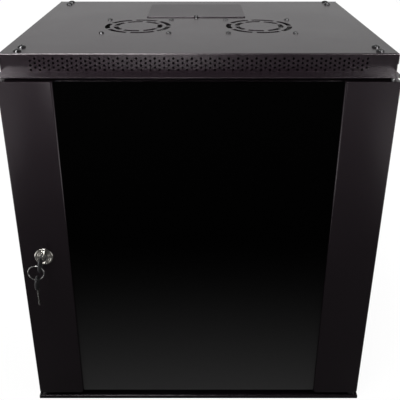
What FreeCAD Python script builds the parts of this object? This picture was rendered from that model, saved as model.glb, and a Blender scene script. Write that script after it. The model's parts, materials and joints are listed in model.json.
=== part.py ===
import FreeCAD, Part
import math
import os

from FreeCAD import Vector

# Wall-mount 19-inch rack cabinet, twelve units high, with a glass door hinged on the right.
# Millimetres. X to the right, Y from the front to the back, Z up.
# The origin is the middle of the underside.

# Outline of the cabinet: its width is the opening of the rack and the space at both sides
rack_opening = 450.0
side_space = 50.0
depth = 450.0
height = 600.0

# Sheet metal
sheet = 1.2
frame_sheet = 1.5
rail_sheet = 2.0
bend_radius = 0.8
seat_gap = 0.3

# Small round pieces are bars with flats that leave the circle by no more than this
facet_error = 0.7

# Front header, top and base
header_depth = 27.0
header_drop = 26.0
header_flange = 19.0
top_lip = 15.0
base_lip = 6.5
base_edge = 1.0

# Air holes in the strip under the front edge of the top
vent_hole_diameter = 4.0
vent_hole_sides = 3
vent_columns = 74
vent_rows = 3
vent_pitch_x = 6.35
vent_pitch_z = 6.35
vent_top_margin = 7.3

# Corner posts and the pockets for the side panels
post_flange = 20.0
post_depth = 18.0
post_seat = 33.0
tab_length = 55.0
tab_reach = 35.0
tab_thickness = 3.0
side_panel_depth = 10.0
side_panel_gap = 0.5
side_panel_edge = 0.8

# M6 screws that hold the top on the posts
screw_inset_x = 24.0
screw_inset_front = 12.0
screw_pitch = 23.5
screw_radius = 3.0
screw_head_radius = 5.75
screw_head_height = 3.3
screw_length = 12.0
hole_clearance = 0.3

# Rack space and mounting rails
rack_unit_count = 12
rack_unit_height = 44.45
rack_holes_per_unit = 3
rack_hole_margin = 6.35
rack_hole_pitch = 15.875
rack_hole_size = 9.5
rack_hole_inset = 7.55
rack_bottom = 18.0
rail_setback = 46.0
rail_flange = 18.0
rail_side_depth = 38.0
rail_bolt_setback = 24.0

# Channels that carry the mounting rails, along both sides at the top and the base
channel_height = 30.0
channel_drop = 16.8
channel_end_gap = 2.0
slot_reach = 30.0
nut_across_flats = 10.0
nut_height = 5.0

# Fans under the top
fan_size = 120.0
fan_height = 25.0
fan_hole_pitch = 105.0
fan_spacing = 198.0
fan_setback = 182.5
fan_bore_radius = 57.5
fan_corner = 5.0
fan_hub_radius = 20.0
fan_hub_height = 16.0
fan_mount_height = 3.5
fan_strut_width = 4.0
fan_strut_count = 4
fan_blade_count = 7
fan_blade_thickness = 1.6
fan_blade_chord_root = 13.0
fan_blade_chord_tip = 25.0
fan_blade_pitch = 35.0
fan_tip_clearance = 1.5
fan_end_gap = 1.0
fan_shaft_radius = 2.5
small_screw_radius = 2.0
small_screw_head_radius = 4.0
small_screw_head_height = 2.4

# Arc slots in the top over each fan
slots_per_ring = 7
slot_rings = ((32.0, 40.0), (46.0, 54.0))
slot_bridge = 7.0

# Cable entries in the top, the base and the back
entry_width = 172.0
entry_length = 128.0
entry_margin = 12.0
entry_sheet = 1.5
entry_corner = 4.0
entry_fan_gap = 11.5
entry_offset_x = -4.0
entry_tab_pitch = 88.0
entry_tab_width = 8.0
entry_notch_depth = 3.0
back_entry_width = 250.0
back_entry_height = 60.0
back_entry_bottom = 60.0
back_entry_corner = 8.0

# Wall fixing holes in the back
wall_hole_radius = 5.0
wall_spacing_x = 400.0
wall_spacing_z = 450.0

# Door
door_gap = 5.8
door_side_gap = 1.0
door_setback = 2.0
door_depth = 20.0
stile_width = 75.6
stile_rear_flange = 24.0
glass_recess = 4.0
glass_thickness = 5.0
glass_overlap = 16.6
glass_end_gap = 0.3
glass_edge = 0.5
tape_width = 11.0
rail_tape = 0.8
rail_tape_width = 12.0
door_rail_height = 18.0
door_rail_end = 17.0

# Hinge and door stops
hinge_inset = 9.0
pin_radius = 2.5
pin_length_inside = 26.0
pin_collar_radius = 4.5
pin_collar_height = 4.0
bush_radius = 5.5
running_clearance = 0.05
buffer_radius = 5.0
buffer_spread = 420.0

# Cam lock on the left stile
lock_inset = 36.0
lock_flange_radius = 14.5
lock_flange_height = 3.0
lock_flange_edge = 1.5
lock_barrel_radius = 9.0
lock_tail_gap = 3.0
lock_nut_across_flats = 24.0
lock_nut_height = 5.0
plug_radius = 6.0
plug_proud = 0.6
keyway_width = 2.4
keyway_height = 8.4
keyway_length = 24.0
cam_clearance = 0.7
cam_thickness = 2.0
cam_length = 30.0
cam_width = 13.0
cam_shank = 7.0
cam_screw_radius = 5.0

# Keys and ring
key_clearance = 0.2
key_insert = 21.0
key_hole_reach = 29.0
bow_radius = 11.0
bow_thickness = 3.0
bow_edge = 0.7
bow_hole_radius = 2.8
bow_hole_offset = 4.0
bow_grip = 2.0
blade_cut_length = 24.0
key_cuts = (1.2, 2.2, 0.8, 1.8)
ring_radius = 12.0
ring_wire_radial = 1.2
ring_wire_axial = 1.4
ring_sides = 24
ring_tilt = 33.0

# Quarter-turn latch of each side panel
latch_drop = 12.0
latch_flange_radius = 11.0
latch_flange_height = 1.5
latch_barrel_radius = 8.0
latch_barrel_length = 13.0
latch_plug_radius = 5.0
latch_slot_width = 1.6
latch_slot_depth = 1.0
latch_cam_gap = 1.2
latch_cam_thickness = 2.0
latch_cam_length = 24.0
latch_cam_width = 11.0

# Planes and places worked out from the sizes above
bend_outer = bend_radius + sheet
half_width = rack_opening / 2 + side_space
front = -depth / 2
back = depth / 2
back_inner = back - sheet
top_front = front + header_depth
ledge_top = height - header_drop
ledge_under = ledge_top - sheet
top_under = height - sheet
base_top = sheet
post_front = top_front + sheet + bend_radius
post_side = half_width - sheet - bend_radius
post_middle = (post_front + back_inner) / 2
post_step = post_front + post_depth
seat_plane = post_side - side_panel_depth - seat_gap
channel_outer = seat_plane - frame_sheet
channel_inner = rack_opening / 2 + rail_flange
channel_top = top_under - channel_drop
channel_middle = channel_top - channel_height / 2
rail_front = post_front + rail_setback
rail_bottom = base_top + channel_drop
rail_bolt_y = rail_front + rail_bolt_setback
rail_bolt_heights = (base_top + top_under - channel_middle, channel_middle)
door_front = front + door_setback
door_back = door_front + door_depth
door_half = half_width - door_side_gap
door_bottom = base_lip + door_gap
door_top = ledge_under - door_gap
stile_inner = door_half - stile_width
glass_front = door_front + glass_recess
glass_back = glass_front + glass_thickness
glass_half = stile_inner + glass_overlap
hinge_x = door_half - hinge_inset
hinge_y = (door_front + door_back) / 2
lock_x = -(door_half - lock_inset)
lock_z = (door_bottom + door_top) / 2
cam_front = post_front + frame_sheet + cam_clearance
cam_back = cam_front + cam_thickness
plug_front = door_front - lock_flange_height - plug_proud
key_hole_y = door_front - key_hole_reach
fan_y = top_front + fan_setback
fan_bottom = top_under - fan_height
fan_centres = ((-fan_spacing / 2, fan_y), (fan_spacing / 2, fan_y))
screw_x = half_width - screw_inset_x
screw_front = top_front + screw_inset_front
entry_front = fan_y + fan_size / 2 + entry_fan_gap
entry_rear = entry_front + entry_length
latch_y = post_middle
latch_z = channel_top - channel_height - latch_drop
latch_cam_x = channel_outer - frame_sheet - latch_cam_gap

RIGHT = Vector(1, 0, 0)
BACKWARD = Vector(0, 1, 0)
UP = Vector(0, 0, 1)


# Basic forms


def box(x, y, z):
    """Block between the lowest and highest value along each axis."""
    size = [high - low for low, high in (x, y, z)]
    return Part.makeBox(*size, Vector(x[0], y[0], z[0]))


def inset(span, margin):
    """A span made shorter by a margin at both ends."""
    return (span[0] + margin, span[1] - margin)


def around(centre, size):
    """A span of a given size around its centre."""
    return (centre - size / 2, centre + size / 2)


def sides_for(radius):
    """Even number of flats that keeps a round bar within the facet error."""
    return 2 * math.ceil(math.pi / math.acos(1 - facet_error / radius) / 2)


def ring_of_points(count, radius, centre, axis):
    """Closed regular polygon round an axis."""
    across = UP if abs(axis.z) < 0.5 else RIGHT
    side = axis.cross(across)
    points = []
    for step in range(count + 1):
        angle = 2 * math.pi * step / count
        points.append(centre + across * (radius * math.cos(angle)) + side * (radius * math.sin(angle)))
    return Part.makePolygon(points)


def prism(count, radius, start, end):
    """Regular bar with a number of flats between two points."""
    along = end - start
    axis = Vector(along).normalize()
    return Part.Face(ring_of_points(count, radius, start, axis)).extrude(along)


def arc_points(centre, radius, start, end):
    """Points on an arc on the top, as close together as the facet error asks for."""
    count = math.ceil(abs(end - start) / (2 * math.acos(1 - facet_error / radius)))
    points = []
    for step in range(count + 1):
        angle = start + (end - start) * step / count
        spoke = Vector(math.cos(angle), math.sin(angle), 0) * radius
        points.append(Vector(centre[0], centre[1], height) + spoke)
    return points


def rod(radius, start, end):
    """True round bar, for pins and shafts that something turns on and for wall fixings."""
    along = end - start
    return Part.makeCylinder(radius, along.Length, start, along)


def bar(radius, start, end):
    """Round bar with flats, whose corners lie on the circle."""
    return prism(sides_for(radius), radius, start, end)


def bore(radius, start, end):
    """Round hole whose flats lie on the circle, so that a bar turns freely in it."""
    count = sides_for(radius)
    return prism(count, radius / math.cos(math.pi / count), start, end)


def joined(first, *others):
    """One solid from shapes that touch or overlap."""
    return first.fuse(list(others)).removeSplitter()


def edges_where(shape, test):
    """Edges whose middle point passes a test."""
    return [edge for edge in shape.Edges if test(edge.CenterOfMass)]


def edges_at_end(shape, end, axis, reach):
    """Edges that lie round one end of a bar."""
    return edges_where(shape, lambda m: abs((m - end).dot(axis)) < reach)


def mirrored_x(shape):
    return shape.mirror(Vector(0, 0, 0), RIGHT)


def mirrored_y(shape):
    """Copy on the other side of the middle between front and rear posts."""
    return shape.mirror(Vector(0, post_middle, 0), BACKWARD)


def mirrored_z(shape):
    """Copy on the other side of the middle between base and top."""
    return shape.mirror(Vector(0, 0, (base_top + top_under) / 2), UP)


def mirrored_door_z(shape):
    """Copy on the other side of the door's middle height."""
    return shape.mirror(Vector(0, 0, lock_z), UP)


def in_plan(a, b):
    return Vector(a, b, 0)


def in_side(a, b):
    return Vector(0, a, b)


def in_front(a, b):
    return Vector(a, 0, b)


def left_normals(path):
    """Unit normals to the left of each run of a path."""
    normals = []
    for start, end in zip(path, path[1:]):
        length = math.dist(start, end)
        normals.append(((start[1] - end[1]) / length, (end[0] - start[0]) / length))
    return normals


def folded_sheet(path, thickness, place, along):
    """Sheet folded along a path and lying on its left, drawn out along a vector."""
    normals = left_normals(path)
    far = []
    for point, before, after in zip(path, normals[:1] + normals, normals + normals[-1:]):
        share = thickness / (1 + before[0] * after[0] + before[1] * after[1])
        far.append((point[0] + (before[0] + after[0]) * share, point[1] + (before[1] + after[1]) * share))
    outline = path + far[::-1] + path[:1]
    return Part.Face(Part.makePolygon([place(*point) for point in outline])).extrude(along)


def rounded_plate(x, y, z, corner):
    """Flat plate with cut corners."""
    plate = box(x, y, z)
    middle = (z[0] + z[1]) / 2
    upright = edges_where(plate, lambda m: abs(m.z - middle) < (z[1] - z[0]) / 4)
    return plate.makeChamfer(corner, upright)


def screw(head_radius, head_height, radius, length, seat, axis):
    """Screw with its head on a seat and its shank along the axis."""
    head = bar(head_radius, seat - axis * head_height, seat)
    return joined(head, bar(radius, seat, seat + axis * length))


def m6_screw(seat, axis, length):
    """Screw of the top and of the mounting rails."""
    return screw(screw_head_radius, screw_head_height, screw_radius, length, seat, axis)


def small_screw(seat, axis, length):
    """Flat-head screw of the fans and the cable-entry plates."""
    return screw(small_screw_head_radius, small_screw_head_height, small_screw_radius, length, seat, axis)


def link_plate(centre, thickness, direction, length, plate_width):
    """Flat cam with cut ends: one end on its axis, the tip a length away."""
    side = Vector(thickness).normalize().cross(direction) * (plate_width / 2)
    slant = plate_width / 4
    low = centre - direction * (plate_width / 2)
    high = centre + direction * length
    inner = side * 0.5
    points = [
        low - inner,
        low - side + direction * slant,
        high - side - direction * slant,
        high - inner,
        high + inner,
        high + side - direction * slant,
        low + side + direction * slant,
        low + inner,
        low - inner,
    ]
    return Part.Face(Part.makePolygon(points)).extrude(thickness)


# Places that several pieces share


def post_screw_spots():
    """Places of the two screws on each corner post, on the top."""
    spots = []
    for x in (-screw_x, screw_x):
        for y in (screw_front, screw_front + screw_pitch):
            spots.append(Vector(x, y, height))
            spots.append(Vector(x, 2 * post_middle - y, height))
    return spots


def fan_screw_spots():
    half = fan_hole_pitch / 2
    return [
        Vector(x + a, y + b, height)
        for x, y in fan_centres
        for a in (-half, half)
        for b in (-half, half)
    ]


def entry_tab_spans(offset_x):
    """Spans of the two rear tabs of a cable-entry plate."""
    middles = (offset_x - entry_tab_pitch / 2, offset_x + entry_tab_pitch / 2)
    return [around(middle, entry_tab_width) for middle in middles]


def entry_screw_spot(offset_x, seat_z):
    return Vector(offset_x, entry_front + entry_notch_depth, seat_z)


def entry_openings(offset_x, z):
    """Cut-outs in a panel under a cable-entry plate: the entry, two tab slots and a screw hole."""
    x = inset(around(offset_x, entry_width), entry_margin)
    y = inset((entry_front, entry_rear), entry_margin)
    cuts = [box(x, y, z)]
    slot = inset((entry_rear - entry_sheet, entry_rear), -hole_clearance)
    for span in entry_tab_spans(offset_x):
        cuts.append(box(inset(span, -hole_clearance), slot, z))
    spot = entry_screw_spot(offset_x, z[0])
    cuts.append(bore(small_screw_radius + hole_clearance, spot, spot + UP * sheet))
    return cuts


# Panels of the body


def arc_slot(centre, inner, outer, start, end):
    """Slot through the top between two radii and two angles."""
    points = arc_points(centre, outer, start, end) + arc_points(centre, inner, end, start)
    return Part.Face(Part.makePolygon(points + points[:1])).extrude(UP * -sheet)


def fan_slots(centre):
    """Two rings of arc slots, with the bridges of one ring between those of the other."""
    pitch = 2 * math.pi / slots_per_ring
    slots = []
    for ring, (inner, outer) in enumerate(slot_rings):
        bridge = slot_bridge / ((inner + outer) / 2)
        shift = pitch / 2 * (1 - ring)
        for step in range(slots_per_ring):
            start = shift + step * pitch + bridge / 2
            end = shift + (step + 1) * pitch - bridge / 2
            slots.append(arc_slot(centre, inner, outer, start, end))
    return slots


def top_panel():
    """Panel with lips at its sides, a rounded front edge, fan grilles and a cable entry."""
    outer = box((-half_width, half_width), (top_front, back_inner), (height - top_lip, height))
    rounded = edges_where(outer, lambda m: m.z > top_under and m.y < back_inner - sheet)
    outer = outer.makeFillet(bend_outer, rounded)
    inside = inset((-half_width, half_width), sheet)
    hollow = box(inside, (top_front + sheet, back_inner), (height - top_lip, top_under))
    fold = edges_where(hollow, lambda m: m.z > top_under - sheet and m.y < back_inner - sheet)
    hollow = hollow.makeFillet(bend_radius, fold)
    front_gap = box(inside, (top_front, top_front + sheet), (height - top_lip, height - bend_outer))
    cuts = [hollow, front_gap]
    for centre in fan_centres:
        cuts += fan_slots(centre)
    for spot in post_screw_spots():
        cuts.append(bore(screw_radius + hole_clearance, spot, spot - UP * sheet))
    for spot in fan_screw_spots():
        cuts.append(bore(small_screw_radius + hole_clearance, spot, spot - UP * sheet))
    cuts += entry_openings(entry_offset_x, (top_under, height))
    return outer.cut(cuts)


def vent_strip():
    """Flat strip with staggered columns of air holes, between the ledge and the top."""
    half = half_width - sheet
    top_edge = height - bend_outer
    corners = [(-half, ledge_top), (half, ledge_top), (half, top_edge), (-half, top_edge), (-half, ledge_top)]
    outline = Part.makePolygon([Vector(x, top_front, z) for x, z in corners])
    # The polygon has the area of the round hole
    wedge = math.pi / vent_hole_sides
    radius = vent_hole_diameter / 2 * math.sqrt(wedge / (math.sin(wedge) * math.cos(wedge)))
    holes = []
    for column in range(vent_columns):
        x = (column - (vent_columns - 1) / 2) * vent_pitch_x
        drop = vent_top_margin + (1 - column % 2) * vent_pitch_z / 2
        for row in range(vent_rows):
            centre = Vector(x, top_front, height - drop - row * vent_pitch_z)
            holes.append(ring_of_points(vent_hole_sides, radius, centre, BACKWARD))
    strip = Part.makeFace([outline] + holes, "Part::FaceMakerBullseye")
    return strip.extrude(BACKWARD * sheet)


def front_header():
    """Ledge over the door with a flange that hangs down behind the door."""
    back_plane = top_front + sheet
    path = [(back_plane, ledge_top - header_flange), (back_plane, ledge_top), (front, ledge_top)]
    ledge = folded_sheet(path, sheet, in_side, RIGHT * (2 * half_width))
    ledge.translate(RIGHT * -half_width)
    hole_start = Vector(hinge_x, hinge_y, ledge_under)
    return ledge.cut(bore(pin_radius + running_clearance, hole_start, hole_start + UP * sheet))


def base_panel():
    """Shallow tray with lips at the front and the sides, and a cable entry."""
    outer = box((-half_width, half_width), (front, back_inner), (0, base_lip))
    cut_edges = edges_where(outer, lambda m: m.z < sheet and m.y < back_inner - sheet)
    outer = outer.makeChamfer(base_edge, cut_edges)
    hollow = box(inset((-half_width, half_width), sheet), (front + sheet, back_inner), (base_top, base_lip))
    return outer.cut([hollow] + entry_openings(0.0, (0, base_top)))


def back_panel():
    """Flat back with four wall fixing holes and a cable entry."""
    panel = box((-half_width, half_width), (back_inner, back), (0, height))
    cuts = []
    for x in around(0.0, wall_spacing_x):
        for z in around(height / 2, wall_spacing_z):
            cuts.append(rod(wall_hole_radius, Vector(x, back_inner, z), Vector(x, back, z)))
    entry = box(
        around(0.0, back_entry_width),
        (back_inner, back),
        (back_entry_bottom, back_entry_bottom + back_entry_height),
    )
    corners = edges_where(entry, lambda m: abs(m.y - back_inner - sheet / 2) < sheet / 4)
    cuts.append(entry.makeChamfer(back_entry_corner, corners))
    return panel.cut(cuts)


# Frame


def front_post_left():
    """Folded post: inner flange, step for the side panel, outer wall and front flange, with end tabs."""
    path = [
        (-seat_plane, post_step + post_seat),
        (-seat_plane, post_step),
        (-post_side, post_step),
        (-post_side, post_front),
        (-post_side + post_flange, post_front),
    ]
    post = folded_sheet(path, frame_sheet, in_plan, UP * (top_under - base_top))
    post.translate(UP * base_top)
    x = (-post_side + frame_sheet, -post_side + tab_reach)
    y = (post_front + frame_sheet, post_front + tab_length)
    base_tab = box(x, y, (base_top, base_top + tab_thickness))
    top_tab = box(x, y, (top_under - tab_thickness, top_under))
    holes = []
    for spot_y in (screw_front, screw_front + screw_pitch):
        start = Vector(-screw_x, spot_y, top_under)
        holes.append(bore(screw_radius + hole_clearance, start, start - UP * tab_thickness))
    return joined(post, base_tab, top_tab).cut(holes)


def top_channel_left():
    """Channel along the side, open downwards, with a slot in which the mounting rail is set."""
    low = channel_top - channel_height
    path = [
        (-channel_inner, low),
        (-channel_inner, channel_top),
        (-channel_outer, channel_top),
        (-channel_outer, low),
    ]
    start = post_step + channel_end_gap
    channel = folded_sheet(path, frame_sheet, in_front, BACKWARD * (2 * (post_middle - start)))
    channel.translate(BACKWARD * start)
    slot = box(
        (-channel_inner - frame_sheet, -channel_inner),
        around(rail_bolt_y, slot_reach),
        around(channel_middle, 2 * (screw_radius + hole_clearance)),
    )
    return channel.cut(slot)


def mounting_rail_left():
    """Angle with the square holes of the rack pattern in its front flange."""
    path = [
        (-channel_inner, rail_front + rail_side_depth),
        (-channel_inner, rail_front),
        (-rack_opening / 2, rail_front),
    ]
    rail = folded_sheet(path, rail_sheet, in_plan, UP * (channel_top - rail_bottom))
    rail.translate(UP * rail_bottom)
    hole_x = around(-rack_opening / 2 - rack_hole_inset, rack_hole_size)
    hole_y = (rail_front, rail_front + rail_sheet)
    holes = []
    for unit in range(rack_unit_count):
        for step in range(rack_holes_per_unit):
            z = rack_bottom + unit * rack_unit_height + rack_hole_margin + step * rack_hole_pitch
            holes.append(box(hole_x, hole_y, around(z, rack_hole_size)))
    for z in rail_bolt_heights:
        start = Vector(-channel_inner, rail_bolt_y, z)
        holes.append(bore(screw_radius + hole_clearance, start, start + RIGHT * rail_sheet))
    return rail.cut(holes)


def rail_bolts():
    """Bolts that clamp the mounting rails to the channels."""
    length = rail_sheet + frame_sheet + nut_height
    bolts = []
    for z in rail_bolt_heights:
        bolts.append(m6_screw(Vector(-channel_inner + rail_sheet, rail_bolt_y, z), -RIGHT, length))
    return Part.makeCompound(bolts + [mirrored_x(bolt) for bolt in bolts])


def rail_nuts():
    """Hexagon nuts on those bolts, inside the channels."""
    nuts = []
    for z in rail_bolt_heights:
        face = Vector(-channel_inner - frame_sheet, rail_bolt_y, z)
        end = face - RIGHT * nut_height
        nut = prism(6, nut_across_flats / math.sqrt(3), face, end)
        nuts.append(nut.cut(bore(screw_radius + running_clearance, face, end)))
    return Part.makeCompound(nuts + [mirrored_x(nut) for nut in nuts])


# Fans


def fan_frame(centre):
    """Square frame with a round duct, and struts that hold the motor mount."""
    x, y = centre
    foot = Vector(x, y, fan_bottom)
    head = Vector(x, y, top_under)
    body = rounded_plate(around(x, fan_size), around(y, fan_size), (fan_bottom, top_under), fan_corner)
    body = body.cut(bore(fan_bore_radius, foot, head))
    mount_top = foot + UP * fan_mount_height
    struts = []
    for step in range(fan_strut_count):
        strut = box(
            (x, x + fan_size / 2),
            around(y, fan_strut_width),
            (fan_bottom, fan_bottom + fan_mount_height),
        )
        strut.rotate(foot, UP, 45 + 360 * step / fan_strut_count)
        struts.append(strut)
    body = joined(body, bar(fan_hub_radius, foot, mount_top), *struts)
    holes = [bore(fan_shaft_radius + running_clearance, foot, mount_top)]
    for a in around(0.0, fan_hole_pitch):
        for b in around(0.0, fan_hole_pitch):
            corner = Vector(a, b, 0)
            holes.append(bore(small_screw_radius + hole_clearance, foot + corner, head + corner))
    return body.cut(holes)


def fan_rotor(centre):
    """Hub on a shaft, with slanted blades that widen towards their tips."""
    x, y = centre
    foot = Vector(x, y, fan_bottom)
    low = foot + UP * (fan_mount_height + fan_end_gap)
    high = low + UP * fan_hub_height
    hub = bar(fan_hub_radius, low, high)
    hub = hub.makeChamfer(fan_end_gap, edges_at_end(hub, high, UP, fan_end_gap / 2))
    tip = math.sqrt((fan_bore_radius - fan_tip_clearance) ** 2 - (fan_blade_chord_tip / 2) ** 2)
    root_half = fan_blade_chord_root / 2
    tip_half = fan_blade_chord_tip / 2
    lower = UP * (-fan_blade_thickness / 2)
    corners = [(0, -root_half), (tip, -tip_half), (tip, tip_half), (0, root_half), (0, -root_half)]
    outline = Part.makePolygon([Vector(a, b, 0) + lower for a, b in corners])
    blade = Part.Face(outline).extrude(UP * fan_blade_thickness)
    blade.rotate(Vector(0, 0, 0), RIGHT, fan_blade_pitch)
    blade.translate((low + high) / 2)
    blades = []
    for step in range(fan_blade_count):
        turned = blade.copy()
        turned.rotate(foot, UP, 360 * step / fan_blade_count)
        blades.append(turned)
    return joined(hub, rod(fan_shaft_radius, foot, low), *blades)


# Cable entries


def entry_plate(offset_x, seat_z):
    """Cover over a cable entry, hooked in two slots at the back and notched for one screw in front."""
    z = (seat_z, seat_z + entry_sheet)
    plate = rounded_plate(around(offset_x, entry_width), (entry_front, entry_rear), z, entry_corner)
    tabs = []
    for span in entry_tab_spans(offset_x):
        tabs.append(box(span, (entry_rear - entry_sheet, entry_rear), (seat_z - sheet, seat_z)))
    spot = entry_screw_spot(offset_x, seat_z)
    reach = small_screw_radius + hole_clearance
    notch = box(around(offset_x, 2 * reach), (entry_front, spot.y), z)
    return joined(plate, *tabs).cut([notch, bore(reach, spot, spot + UP * entry_sheet)])


def entry_screws():
    length = entry_sheet + sheet
    return Part.makeCompound([
        small_screw(entry_screw_spot(offset_x, seat_z + entry_sheet), -UP, length)
        for offset_x, seat_z in ((entry_offset_x, height), (0.0, base_top))
    ])


# Fastener groups on the top


def top_screws():
    return Part.makeCompound([m6_screw(spot, -UP, screw_length) for spot in post_screw_spots()])


def fan_screws():
    length = sheet + fan_height
    return Part.makeCompound([small_screw(spot, -UP, length) for spot in fan_screw_spots()])


# Side panels and their latches


def side_panel_left():
    """Shallow pan that fills the pocket between the posts."""
    x = (-post_side, -post_side + side_panel_depth)
    y = (post_step + side_panel_gap, 2 * post_middle - post_step - side_panel_gap)
    z = (base_lip + side_panel_gap, height - top_lip - side_panel_gap)
    outer = box(x, y, z)
    outer = outer.makeChamfer(side_panel_edge, edges_where(outer, lambda m: m.x < x[0] + sheet))
    hollow = box((x[0] + sheet, x[1]), inset(y, sheet), inset(z, sheet))
    face = Vector(x[0], latch_y, latch_z)
    hole = bore(latch_barrel_radius + running_clearance, face, face + RIGHT * sheet)
    return outer.cut([hollow, hole])


def side_latch_body_left():
    """Latch housing: a flange outside the panel and a barrel inside it."""
    face = Vector(-post_side, latch_y, latch_z)
    rim = face - RIGHT * latch_flange_height
    tail = face + RIGHT * latch_barrel_length
    flange = bar(latch_flange_radius, rim, face)
    rim_edges = edges_at_end(flange, rim, RIGHT, latch_flange_height / 4)
    flange = flange.makeChamfer(latch_flange_height / 2, rim_edges)
    body = joined(flange, bar(latch_barrel_radius, face, tail))
    return body.cut(bore(latch_plug_radius + running_clearance, rim, tail))


def side_latch_plug_left():
    """Turning plug with a coin slot outside and the cam inside."""
    start = Vector(-post_side - latch_flange_height, latch_y, latch_z)
    end = Vector(-latch_cam_x, latch_y, latch_z)
    plug = rod(latch_plug_radius, start, end)
    slot = box(
        (start.x, start.x + latch_slot_depth),
        around(latch_y, 2 * latch_plug_radius),
        around(latch_z, latch_slot_width),
    )
    cam = link_plate(end, RIGHT * latch_cam_thickness, BACKWARD, latch_cam_length, latch_cam_width)
    return joined(plug.cut(slot), cam)


# Door


def door_stile_left():
    """Folded stile, open at the back, with closed ends and a hem against the glass."""
    x = (-door_half, -stile_inner)
    z = (door_bottom, door_top)
    inside_z = inset(z, sheet)
    middle = (door_bottom + door_top) / 2
    outer = box(x, (door_front, door_back), z)
    upright = edges_where(outer, lambda m: abs(m.z - middle) < sheet)
    inner_rear = Vector(x[1], door_back, middle)
    folds = [edge for edge in upright if edge.CenterOfMass.distanceToPoint(inner_rear) > sheet]
    outer = outer.makeFillet(bend_outer, folds)
    hollow = box(inset(x, sheet), inset((door_front, door_back), sheet), inside_z)
    rear_gap = box((x[0] + stile_rear_flange, x[1] - sheet), (door_back - sheet, door_back), inside_z)
    glass_gap = box((x[1] - sheet, x[1]), (glass_front - seat_gap, door_back), inside_z)
    return outer.cut([hollow, rear_gap, glass_gap])


def lock_hole():
    start = lock_point(door_front)
    return bore(lock_barrel_radius + running_clearance, start, start + BACKWARD * sheet)


def pin_holes():
    holes = []
    for low in (door_bottom, door_top - sheet):
        start = Vector(hinge_x, hinge_y, low)
        holes.append(bore(pin_radius + running_clearance, start, start + UP * sheet))
    return holes


def glass_height():
    """Span of the glass between the closed ends of the stiles."""
    return inset((door_bottom, door_top), sheet + glass_end_gap)


def glass_pane():
    pane = box((-glass_half, glass_half), (glass_front, glass_back), glass_height())
    return pane.makeChamfer(glass_edge, pane.Edges)


def door_rail_top():
    """Channel behind the top edge of the glass, between the rear flanges of the stiles."""
    half = door_half - door_rail_end
    web = glass_back + rail_tape
    end = door_back - sheet
    high = door_top - sheet
    low = high - door_rail_height
    path = [(end, high), (web, high), (web, low), (end, low)]
    rail = folded_sheet(path, sheet, in_side, RIGHT * (2 * half))
    rail.translate(RIGHT * -half)
    return rail


def glass_tape():
    """Strips that bond the glass to the stiles in front of it and to the rails behind it."""
    edge = stile_inner + sheet
    stile_strip = box((-edge - tape_width, -edge), (door_front + sheet, glass_front), glass_height())
    rail_middle = door_top - sheet - door_rail_height / 2
    rail_strip = box(
        (-stile_inner, stile_inner),
        (glass_back, glass_back + rail_tape),
        around(rail_middle, rail_tape_width),
    )
    return Part.makeCompound([stile_strip, mirrored_x(stile_strip), rail_strip, mirrored_door_z(rail_strip)])


def hinge_pin(seat_z, tip_z, inward):
    """Pin with a collar that bears on the inside of the stile's end."""
    seat = Vector(hinge_x, hinge_y, seat_z)
    tip = Vector(hinge_x, hinge_y, tip_z)
    pin = rod(pin_radius, seat + inward * pin_length_inside, tip)
    return joined(pin, bar(pin_collar_radius, seat, seat + inward * pin_collar_height))


def hinge_bush():
    """Spacer bush on the base that takes the lower pin."""
    low = Vector(hinge_x, hinge_y, base_top)
    high = Vector(hinge_x, hinge_y, door_bottom - seat_gap)
    return bar(bush_radius, low, high).cut(bore(pin_radius + running_clearance, low, high))


def door_buffers():
    """Two soft stops on the left post, under the rear flange of the stile."""
    x = -post_side + post_flange / 2
    stops = []
    for z in around(lock_z, buffer_spread):
        face = Vector(x, door_back + seat_gap, z)
        stop = bar(buffer_radius, Vector(x, post_front, z), face)
        stops.append(stop.makeChamfer(buffer_radius / 4, edges_at_end(stop, face, BACKWARD, sheet)))
    return Part.makeCompound(stops)


# Lock and keys


def lock_point(y):
    return Vector(lock_x, y, lock_z)


def lock_body():
    """Round escutcheon on the stile and a barrel through it."""
    face = lock_point(door_front - lock_flange_height)
    tail = lock_point(door_back + lock_tail_gap)
    flange = bar(lock_flange_radius, face, lock_point(door_front))
    flange = flange.makeChamfer(lock_flange_edge, edges_at_end(flange, face, BACKWARD, lock_flange_edge / 2))
    body = joined(flange, bar(lock_barrel_radius, lock_point(door_front), tail))
    return body.cut(bore(plug_radius + running_clearance, face, tail))


def lock_nut():
    face = lock_point(door_front + sheet)
    end = face + BACKWARD * lock_nut_height
    nut = prism(6, lock_nut_across_flats / math.sqrt(3), face, end)
    return nut.cut(bore(lock_barrel_radius + running_clearance, face, end))


def lock_plug():
    """Turning plug with the keyway in front and a square shank for the cam."""
    shoulder = cam_front - cam_clearance
    plug = rod(plug_radius, lock_point(plug_front), lock_point(shoulder))
    shank = box(around(lock_x, cam_shank), (shoulder, cam_back), around(lock_z, cam_shank))
    keyway = box(
        around(lock_x, keyway_width),
        (plug_front, plug_front + keyway_length),
        around(lock_z, keyway_height),
    )
    return joined(plug, shank).cut(keyway)


def lock_cam():
    cam = link_plate(lock_point(cam_front), BACKWARD * cam_thickness, UP, cam_length, cam_width)
    side = cam_shank + 2 * running_clearance
    return cam.cut(box(around(lock_x, side), (cam_front, cam_back), around(lock_z, side)))


def cam_screw():
    """Head of the screw that holds the cam on the shank."""
    end = lock_point(cam_back + screw_head_height)
    head = bar(cam_screw_radius, lock_point(cam_back), end)
    return head.makeChamfer(screw_head_height / 3, edges_at_end(head, end, BACKWARD, screw_head_height / 4))


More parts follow.
